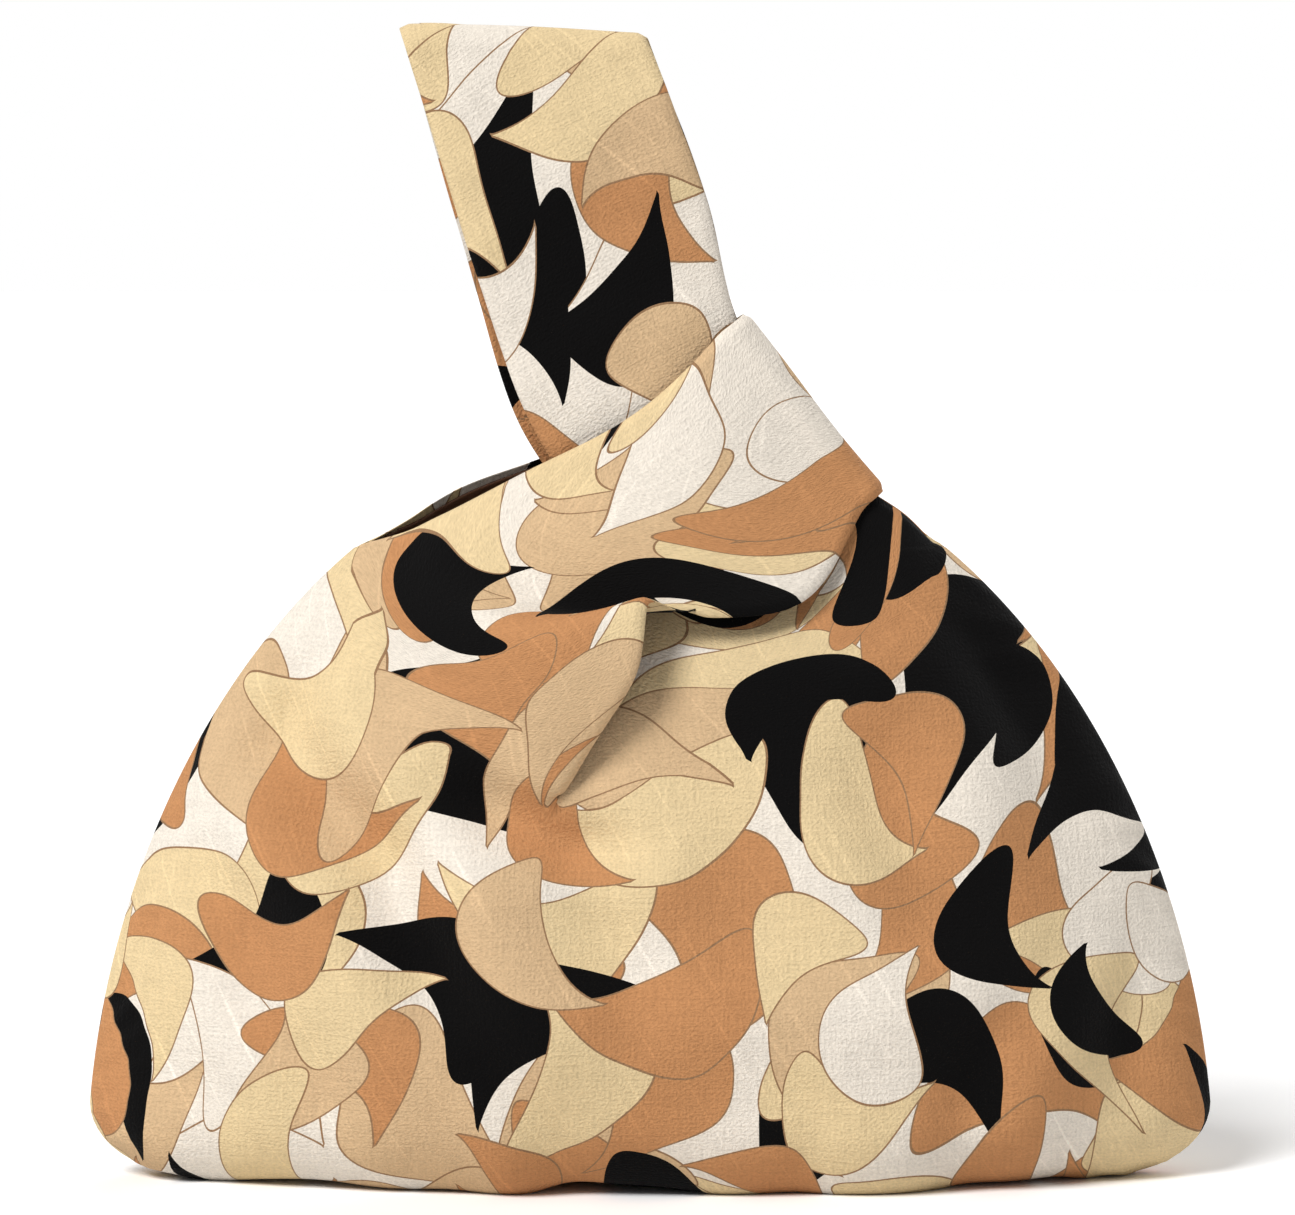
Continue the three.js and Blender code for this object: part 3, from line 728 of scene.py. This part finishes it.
class Nodes:
    """Short hand for building a material's node tree."""

    def __init__(self, name):
        self.material = bpy.data.materials.new(name)
        self.material.use_nodes = True
        self.tree = self.material.node_tree
        self.shader = self.tree.nodes["Principled BSDF"]

    def add(self, kind, **settings):
        node = self.tree.nodes.new(kind)
        for key, value in settings.items():
            setattr(node, key, value)
        return node

    def link(self, output, socket):
        self.tree.links.new(output, socket)

    def put(self, socket, value):
        if isinstance(value, bpy.types.NodeSocket):
            self.link(value, socket)
        else:
            socket.default_value = value

    def math(self, operation, first, second=0.0, third=0.0):
        node = self.add("ShaderNodeMath", operation=operation)
        for socket, value in zip(node.inputs, (first, second, third)):
            self.put(socket, value)
        return node.outputs[0]

    def vector(self, operation, first, second=(0, 0, 0), scale=1.0):
        node = self.add("ShaderNodeVectorMath", operation=operation)
        self.put(node.inputs[0], first)
        if operation == "SCALE":
            self.put(node.inputs["Scale"], scale)
        else:
            self.put(node.inputs[1], second)
        return node.outputs[0]

    def turned(self, place, angle):
        node = self.add("ShaderNodeVectorRotate", rotation_type="Z_AXIS")
        self.put(node.inputs["Vector"], place)
        self.put(node.inputs["Angle"], angle)
        return node.outputs[0]

    def mix(self, share, first, second, way="MIX"):
        node = self.add("ShaderNodeMix", data_type="RGBA", blend_type=way)
        self.put(node.inputs["Factor"], share)
        self.put(node.inputs[6], first)
        self.put(node.inputs[7], second)
        return node.outputs[2]

    def grey(self, level):
        node = self.add("ShaderNodeCombineColor")
        for socket in node.inputs:
            self.link(level, socket)
        return node.outputs[0]

    def noise(self, place, scale, detail=0.0, roughness=0.5, output="Fac"):
        node = self.add("ShaderNodeTexNoise", noise_dimensions="2D")
        self.put(node.inputs["Vector"], place)
        node.inputs["Scale"].default_value = scale
        node.inputs["Detail"].default_value = detail
        node.inputs["Roughness"].default_value = roughness
        return node.outputs[output]

    def drawn_noise(self, place, stretch, scale, detail=0.0):
        """Noise that is drawn out along or across the cloth."""
        return self.noise(self.vector("MULTIPLY", place, (*stretch, 1.0)), scale, detail)

    def even_palette(self, value, colours):
        node = self.add("ShaderNodeValToRGB")
        ramp = node.color_ramp
        ramp.interpolation = "CONSTANT"
        while len(ramp.elements) < len(colours):
            ramp.elements.new(1.0)
        for k, (element, colour) in enumerate(zip(ramp.elements, colours)):
            element.position = k / len(colours)
            element.color = colour
        self.put(node.inputs[0], value)
        return node.outputs[0]

    def flat_place(self):
        """Place in the cloth's flat pattern, in metres."""
        return self.add("ShaderNodeUVMap", uv_map="flat").outputs[0]

    def surface(self, colour, relief, strength, distance, roughness):
        """Gives the shader its colour, its bumps and its roughness."""
        self.link(colour, self.shader.inputs["Base Color"])
        bump = self.add("ShaderNodeBump")
        bump.inputs["Strength"].default_value = strength
        bump.inputs["Distance"].default_value = distance
        self.link(relief, bump.inputs["Height"])
        self.link(bump.outputs[0], self.shader.inputs["Normal"])
        self.shader.inputs["Roughness"].default_value = roughness


# Print: noise scales are to a metre, lengths in metres
SWAYS = ((14.0, 0.024), (40.0, 0.003))
NOISE_MIDDLE = (0.5, 0.5, 0.5)
LINE_WIDTH = 0.0005
LEAF_COLOURS = (
    SAND, CARAMEL, BLACK, YELLOW, SAND, IVORY, CARAMEL, BLACK, YELLOW, SAND, CARAMEL, BLACK, YELLOW
)
COLOUR_STEP = 5                 # how far the order of the colours moves on from layer to layer
LEAF_LAYERS = 11
LAYER_STEP = (0.37, 0.53)       # how far each layer's cells are moved from the last one's
FIRST_CELLS = 8.0               # leaves to a metre in the lowest layer
CELLS_GROWTH = 1.055
CELL_RANDOMNESS = 0.12
LEAST_LEAF = 0.8                # size of the smallest leaf in a layer, and how much larger one may be
LEAF_SPREAD = 0.3
LEAF_REACH = 0.35               # half length, as a share of the room that a leaf has
LEAF_BREADTH = 0.56             # half breadth, as a share of the half length
LEAF_BEND = 0.7                 # sideways drift of the tips, as a share of the half length
LEAF_FULLNESS = 27 / 32         # makes the half breadth that of the widest place


def leaf_cells(n, place, number, scale):
    """Place along and across the leaf of the cell that a place is in, and the cell's random numbers."""
    moved = n.vector("ADD", place, (LAYER_STEP[0] * number, LAYER_STEP[1] * number, 0.0))
    cell = n.add("ShaderNodeTexVoronoi", voronoi_dimensions="2D", feature="F1")
    n.link(moved, cell.inputs["Vector"])
    cell.inputs["Scale"].default_value = scale
    cell.inputs["Randomness"].default_value = CELL_RANDOMNESS
    chance = n.add("ShaderNodeSeparateColor")
    n.link(cell.outputs["Color"], chance.inputs[0])
    from_middle = n.vector("SUBTRACT", moved, cell.outputs["Position"])
    local = n.add("ShaderNodeSeparateXYZ")
    n.link(n.turned(from_middle, n.math("MULTIPLY", chance.outputs[0], 2 * math.pi)), local.inputs[0])
    return local.outputs[0], local.outputs[1], chance.outputs


def leaf_shape(n, along, across, size, length, bend):
    """Whether a place is inside a leaf, and whether it is on its outline.

    The square of the leaf's breadth is a cubic of the way along, so it is pointed at one end and
    round at the other.
    """
    half_length = n.math("MULTIPLY", size, length)
    half_breadth = n.math("MULTIPLY", size, LEAF_BREADTH * length)
    share = n.math("MAXIMUM", n.math("DIVIDE", along, half_length), -1.0)
    from_tip = n.math("ADD", share, 1.0)
    from_round = n.math("SUBTRACT", 1.0, share)
    centred = n.math("SUBTRACT", across, bend * length ** 2 / 2)
    spread = n.math("MULTIPLY_ADD", n.math("MULTIPLY", along, along), bend, centred)
    belly = n.math("MULTIPLY", n.math("MULTIPLY", half_breadth, half_breadth), LEAF_FULLNESS)
    rise = n.math("MULTIPLY", belly, from_tip)
    breadth = n.math("MULTIPLY", n.math("MULTIPLY", rise, from_tip), from_round)
    beyond = n.math("MULTIPLY_ADD", spread, spread, n.math("MULTIPLY", breadth, -1.0))
    inside = n.math("LESS_THAN", beyond, 0.0)
    # divided by its own slope it is the distance from the leaf's side, for an outline of even width
    growth = n.math("SUBTRACT", n.math("MULTIPLY", from_round, 2.0), from_tip)
    narrowing = n.math("DIVIDE", n.math("MULTIPLY", rise, growth), half_length)
    double = n.math("MULTIPLY", spread, 2.0)
    bending = n.math("MULTIPLY", double, n.math("MULTIPLY", along, 2 * bend))
    lean = n.math("SUBTRACT", bending, narrowing)
    square = n.math("MULTIPLY_ADD", lean, lean, n.math("MULTIPLY", double, double))
    away = n.math("DIVIDE", n.math("ABSOLUTE", beyond), n.math("SQRT", square))
    near = n.math("LESS_THAN", away, LINE_WIDTH / 2)
    return inside, n.math("MULTIPLY", near, n.math("GREATER_THAN", share, -1.0))


def leaf_layer(n, place, under, number):
    """Bent leaves scattered over a print, one to a cell, each in one colour with a thin outline."""
    scale = FIRST_CELLS * CELLS_GROWTH ** number
    length = LEAF_REACH / scale
    bend = LEAF_BEND / length * (-1) ** number
    along, across, chance = leaf_cells(n, place, number, scale)
    size = n.math("MULTIPLY_ADD", chance[1], LEAF_SPREAD, LEAST_LEAF)
    inside, line = leaf_shape(n, along, across, size, length, bend)
    first = COLOUR_STEP * number % len(LEAF_COLOURS)
    colours = LEAF_COLOURS[first:] + LEAF_COLOURS[:first]
    fill = n.even_palette(chance[2], colours)
    edge = n.even_palette(chance[2], [BLACK if shade is BLACK else OUTLINE for shade in colours])
    return n.mix(line, n.mix(inside, under, fill), edge)


def print_material():
    """Cotton printed with overlapping bent leaves with thin outlines, in five colours, on ivory."""
    n = Nodes("printed_cotton")
    uv = n.flat_place()
    place = uv
    for scale, reach in SWAYS:
        sway = n.vector("SUBTRACT", n.noise(uv, scale, output="Color"), NOISE_MIDDLE)
        place = n.vector("ADD", place, n.vector("SCALE", sway, scale=reach))
    colour = IVORY
    for number in range(LEAF_LAYERS):
        colour = leaf_layer(n, place, colour, number)
    finish_cotton(n, uv, colour)
    return n.material


# Weave: how far the threads and the grain are drawn out, and noise scales to a metre
WARP = ((1.0, 0.07), 900.0)
WEFT = ((0.06, 1.0), 1000.0)
GRAIN = ((0.8, 1.0), 1300.0)
THICK_THREADS = ((1.0, 0.035), 700.0)
THICK_THREAD_LEAN = math.radians(-30)
THICK_THREAD_FROM = 0.7         # noise level above which a thread is thick
THICK_THREAD_SOFTNESS = 0.02
THICK_THREAD_SHADE = 0.7
BLOTCH_SCALE = 130.0
THREAD_WEIGHT = 0.7
GRAIN_WEIGHT = 2.0
WEAVE_SHADE = 0.18              # how far the weave and the blotches lighten the dye, from the darkest tone
DARKEST_WEAVE = 0.694
BLOTCH_SHADE = 0.1
DARKEST_BLOTCH = 0.95


def finish_cotton(n, uv, colour):
    """Crinkled weave, slubs and a little unevenness of the dye over a cloth's colour."""
    threads = n.math("ADD", n.drawn_noise(uv, *WARP, 1.0), n.drawn_noise(uv, *WEFT, 1.0))
    threads = n.math("MULTIPLY", threads, THREAD_WEIGHT)
    weave = n.math("MULTIPLY_ADD", n.drawn_noise(uv, *GRAIN, 2.0), GRAIN_WEIGHT, threads)
    blotch = n.math("MULTIPLY_ADD", n.noise(uv, BLOTCH_SCALE, 3.0), BLOTCH_SHADE, DARKEST_BLOTCH)
    tone = n.math("MULTIPLY", n.math("MULTIPLY_ADD", weave, WEAVE_SHADE, DARKEST_WEAVE), blotch)
    # a few thick threads stand out pale
    thick = n.drawn_noise(n.turned(uv, THICK_THREAD_LEAN), *THICK_THREADS)
    thick = n.math("SUBTRACT", thick, THICK_THREAD_FROM)
    thick = n.math("SMOOTH_MAX", thick, 0.0, THICK_THREAD_SOFTNESS)
    tone = n.math("MULTIPLY_ADD", thick, THICK_THREAD_SHADE, tone)
    tinted = n.mix(1.0, colour, n.grey(tone), "MULTIPLY")
    n.surface(tinted, weave, strength=0.7, distance=0.0003, roughness=0.82)
    n.shader.inputs["Specular IOR Level"].default_value = 0.07
    n.shader.inputs["Sheen Weight"].default_value = 0.02


LINING_THREADS = ((1.0, 0.05), 2200.0)
LINING_THREAD_SHARE = 0.6
LINING_CLOUD_SCALE = 60.0
LINING_CLOUD_SHARE = 0.4
FIBRE_SCALE = 700.0
FIBRE_ROUGHNESS = 0.7
PLY_SCALE = 450.0
PLY_DISTORTION = 0.6


def lining_material():
    """Smooth brown lining with fine threads."""
    n = Nodes("brown_lining")
    uv = n.flat_place()
    threads = n.drawn_noise(uv, *LINING_THREADS, 1.0)
    cloud = n.math("MULTIPLY", n.noise(uv, LINING_CLOUD_SCALE, 2.0), LINING_CLOUD_SHARE)
    share = n.math("MULTIPLY_ADD", threads, LINING_THREAD_SHARE, cloud)
    colour = n.mix(share, LINING_DARK, LINING_BROWN)
    n.surface(colour, threads, strength=0.25, distance=0.0002, roughness=0.5)
    return n.material


def interlining_material():
    """Pale felt of short crossed fibres."""
    n = Nodes("felt_interlining")
    fibres = n.noise(n.flat_place(), FIBRE_SCALE, 4.0, FIBRE_ROUGHNESS)
    n.surface(n.mix(fibres, FELT_GREY, FELT_WHITE), fibres, strength=0.4, distance=0.0003, roughness=0.95)
    return n.material


def thread_material():
    """Twisted sewing thread: slanting plies a fraction of a millimetre apart."""
    n = Nodes("sewing_thread")
    waves = n.add("ShaderNodeTexWave", wave_type="BANDS", bands_direction="DIAGONAL")
    n.link(n.add("ShaderNodeTexCoord").outputs["Object"], waves.inputs["Vector"])
    waves.inputs["Scale"].default_value = PLY_SCALE
    waves.inputs["Distortion"].default_value = PLY_DISTORTION
    plies = waves.outputs["Fac"]
    n.surface(n.mix(plies, THREAD_DARK, THREAD_LIGHT), plies, strength=0.6, distance=0.0001, roughness=0.6)
    return n.material


# Meshes

class Layer(NamedTuple):
    """One layer of the cloth: depths of its two sides, material, rings that it stops short of an edge."""

    near: float
    far: float
    material: bpy.types.Material
    rings: int


PRINT = Layer(0.0, OUTER_THICK, print_material(), 0)
LINING = Layer(LINING_DEPTH, LINING_DEPTH + LINING_THICK, lining_material(), FACING_RINGS)
FELT = Layer(
    INTERLINING_DEPTH, INTERLINING_DEPTH + INTERLINING_THICK, interlining_material(), 2 * FACING_RINGS
)
TURNED = [2, 1, 0, 3]           # a quad's corners the other way round


def closed_faces(quads, size):
    """Faces of a slab over two sheets of points: the upper side, the under side, walls along the rim."""
    rim = one_sided(quad_edges(quads), size)
    walls = np.stack([rim[:, 1], rim[:, 0], rim[:, 0] + size, rim[:, 1] + size], -1)
    return np.concatenate([quads, quads[:, TURNED] + size, walls])


def mesh_object(name, points, faces, flat, material):
    """A smooth object from places in millimetres, with its flat pattern as its UV map."""
    used, faces = np.unique(faces, return_inverse=True)
    mesh = bpy.data.meshes.new(name)
    mesh.from_pydata((points[used] * MM).tolist(), [], faces.reshape(-1, 4).tolist())
    layer = mesh.uv_layers.new(name="flat")
    corners = np.zeros(len(mesh.loops), int)
    mesh.loops.foreach_get("vertex_index", corners)
    layer.data.foreach_set("uv", (flat[used][corners] * MM).ravel())
    mesh.polygons.foreach_set("use_smooth", np.ones(len(mesh.polygons), bool))
    mesh.materials.append(material)
    mesh.update()
    piece = bpy.data.objects.new(name, mesh)
    bpy.context.scene.collection.objects.link(piece)
    return piece


def cloth_object(name, sheet, layer, side, flat_shift=(0, 0), only=None):
    """A closed piece of cloth: one layer of a sheet, its free edges rolled inward or trimmed.
    """
    inward = -sheet.normals()
    inward[sheet.sewn, 1] = 0
    inward /= np.maximum(np.linalg.norm(inward, axis=1), TINY)[:, None]
    quads = sheet.quads
    roll = np.zeros(len(sheet.points))
    if layer.rings:
        kept = sheet.rim_distance(in_rings=True) > layer.rings + sheet.turn_in - 0.5
        quads = quads[kept[quads].all(1)]
    else:
        roll = EDGE_ROLL * bell(sheet.rim_distance(), ROLL_REACH)
    if only is not None:
        quads = quads[np.isin(quads, only).all(1)]
    near = layer.near + roll
    far = np.maximum(layer.far, near + LEAST_THICK)
    points = np.concatenate([sheet.points + inward * depth[:, None] for depth in (near, far)])
    points[:, 1] = np.minimum(points[:, 1], -SEAM_HALF_GAP)
    faces = closed_faces(quads, len(sheet.points))
    if side == "back":
        points = points * np.array([1, -1, 1])
        faces = faces[:, TURNED]
    flat = np.concatenate([sheet.flat, sheet.flat]) + np.array(flat_shift)
    piece = mesh_object(name, points, faces, flat, layer.material)
    return piece


# Pieces

class Side(NamedTuple):
    """What sets one side of the bag apart from the other."""

    seed: int                   # of its lumps and creases
    drift: float                # of its folds
    rounds: int                 # of smoothing over the pleat's crest
    lean: float                 # of the loop's left edge
    arch: float                 # of the left strap's upper edge
    shift: tuple                # of its panel on the print


SIDES = {
    "front": Side(11, 1.0, 22, 0.0, 0.0, (0, 0)),
    "back": Side(57, 9.0, 60, 4.0, 4.5, (620, 290)),
}
STRAP_PRINT = (300, 900)        # place of the long straps on the print, from the panel's
STRAP_SEED = 20


def add_panel(side, look):
    """One panel of the bag with its felt and its lining."""
    panel = panel_sheet(look.arch)
    soften_panel(panel, look.seed, look.drift)
    ease_turns(panel, look.rounds)
    clear = off_base_corners(panel)
    off_seams = np.flatnonzero(panel.points[:, 1] < -FELT_INSET)
    felted = np.intersect1d(np.intersect1d(panel.wall, clear), off_seams)
    outer = cloth_object(f"panel_{side}", panel, PRINT, side, look.shift)
    felt = cloth_object(f"panel_{side}_interlining", panel, FELT, side, only=felted)
    inside = cloth_object(f"panel_{side}_inside", panel, LINING, side, only=clear)
    for piece, slot, nodes in (
        (outer, "print", [f"body_{side}_outer", f"short_loop_{side}_outer"]),
        (felt, "interlining", [f"body_{side}_interlining"]),
        (inside, "lining", [f"body_{side}_lining", f"short_loop_{side}_lining"]),
    ):
        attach(piece, "bag")
        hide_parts(*nodes)


def add_straps(side, look):
    """One side's long strap and carry loop with their linings."""
    run, loop = loop_sheets(look.lean)
    print_place = (STRAP_PRINT[0] + look.shift[0], STRAP_PRINT[1] + look.shift[1])
    # the two bodies that each runs between, and the places in metres where its way from the one to the other
    # starts and ends
    for name, sheet, bodies, start, end in (
        ("long_strap", run, ("bag", "long_straps"), (0.012, 0, 0.195), (-0.005, 0, 0.235)),
        ("carry_loop", loop, ("long_straps", "carry_loop"), (-0.0085, 0, 0.249), (-0.0144, 0, 0.2682)),
    ):
        soften_strap(sheet, look.seed + STRAP_SEED)
        outer = cloth_object(f"{name}_{side}", sheet, PRINT, side, print_place)
        inside = cloth_object(f"{name}_{side}_inside", sheet, LINING, side)
        for piece, slot, node in (
            (outer, "print", f"{name}_{side}_outer"),
            (inside, "lining", f"{name}_{side}_lining"),
        ):
            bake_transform(piece)
            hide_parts(node)


for side, look in SIDES.items():
    add_panel(side, look)
    add_straps(side, look)

thread = thread_material()
for name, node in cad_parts.items():
    if name.endswith("_thread"):
        node.data.materials.clear()
        node.data.materials.append(thread)

# Studio

scene = bpy.context.scene
scene.view_settings.view_transform = "Standard"

FLOOR_REACH = 6.0
FLOOR_SEEN = 1.17
FLOOR_BOUNCE = 0.85
SKY_LIGHT = 0.26


def sees_white(tree):
    """One for the rays that see the studio as white: straight, in a reflection or through glass."""
    path = tree.nodes.new("ShaderNodeLightPath")
    seen = path.outputs["Is Camera Ray"]
    for kind in ("Is Glossy Ray", "Is Transmission Ray"):
        either = tree.nodes.new("ShaderNodeMath")
        either.operation = "MAXIMUM"
        tree.links.new(seen, either.inputs[0])
        tree.links.new(path.outputs[kind], either.inputs[1])
        seen = either.outputs[0]
    return seen


def studio_material():
    """Matt floor that the camera sees as white, with the bag's shadow on it."""
    n = Nodes("studio_white")
    matt = n.add("ShaderNodeBsdfDiffuse")
    level = n.math("MULTIPLY_ADD", sees_white(n.tree), FLOOR_SEEN - FLOOR_BOUNCE, FLOOR_BOUNCE)
    n.link(n.grey(level), matt.inputs["Color"])
    n.link(matt.outputs[0], n.tree.nodes["Material Output"].inputs["Surface"])
    return n.material


bpy.ops.mesh.primitive_plane_add(size=2 * FLOOR_REACH, location=(0, 0, 0))
floor = bpy.context.object
floor.name = "studio_floor"
floor.data.materials.append(studio_material())

world = bpy.data.worlds.new("studio")
scene.world = world
world.use_nodes = True
tree = world.node_tree
background = tree.nodes["Background"]
background.inputs[0].default_value = (1, 1, 1, 1)
sky = tree.nodes.new("ShaderNodeMapRange")
tree.links.new(sees_white(tree), sky.inputs["Value"])
sky.inputs["To Min"].default_value = SKY_LIGHT
sky.inputs["To Max"].default_value = 1.0
tree.links.new(sky.outputs["Result"], background.inputs[1])

# Lamps: way the light comes from, strength, softness in degrees
LAMPS = {
    "key": ((-0.55, -0.62, 0.86), 2.5, 26),
    "back_fill": ((0.45, 0.80, 0.62), 1.3, 70),
}
for name, (way, strength, softness) in LAMPS.items():
    sun = bpy.data.lights.new(name, "SUN")
    sun.energy = strength
    sun.angle = math.radians(softness)
    lamp = bpy.data.objects.new(name, sun)
    lamp.rotation_mode = "QUATERNION"
    lamp.rotation_quaternion = (-Vector(way)).to_track_quat("-Z", "Y")
    scene.collection.objects.link(lamp)

CAMERA_DISTANCE = 2.2
CAMERA_ELEVATION = math.radians(5)
CAMERA_LENS = 204
CAMERA_SENSOR = 36
AIM = Vector((-0.0008, 0, 0.1715))
lens = bpy.data.cameras.new("camera")
lens.lens = CAMERA_LENS
lens.sensor_width = CAMERA_SENSOR
camera = bpy.data.objects.new("camera", lens)
back = Vector((0, -math.cos(CAMERA_ELEVATION), math.sin(CAMERA_ELEVATION)))
camera.location = AIM + back * CAMERA_DISTANCE
camera.rotation_mode = "QUATERNION"
camera.rotation_quaternion = (-back).to_track_quat("-Z", "Y")
scene.collection.objects.link(camera)
scene.camera = camera
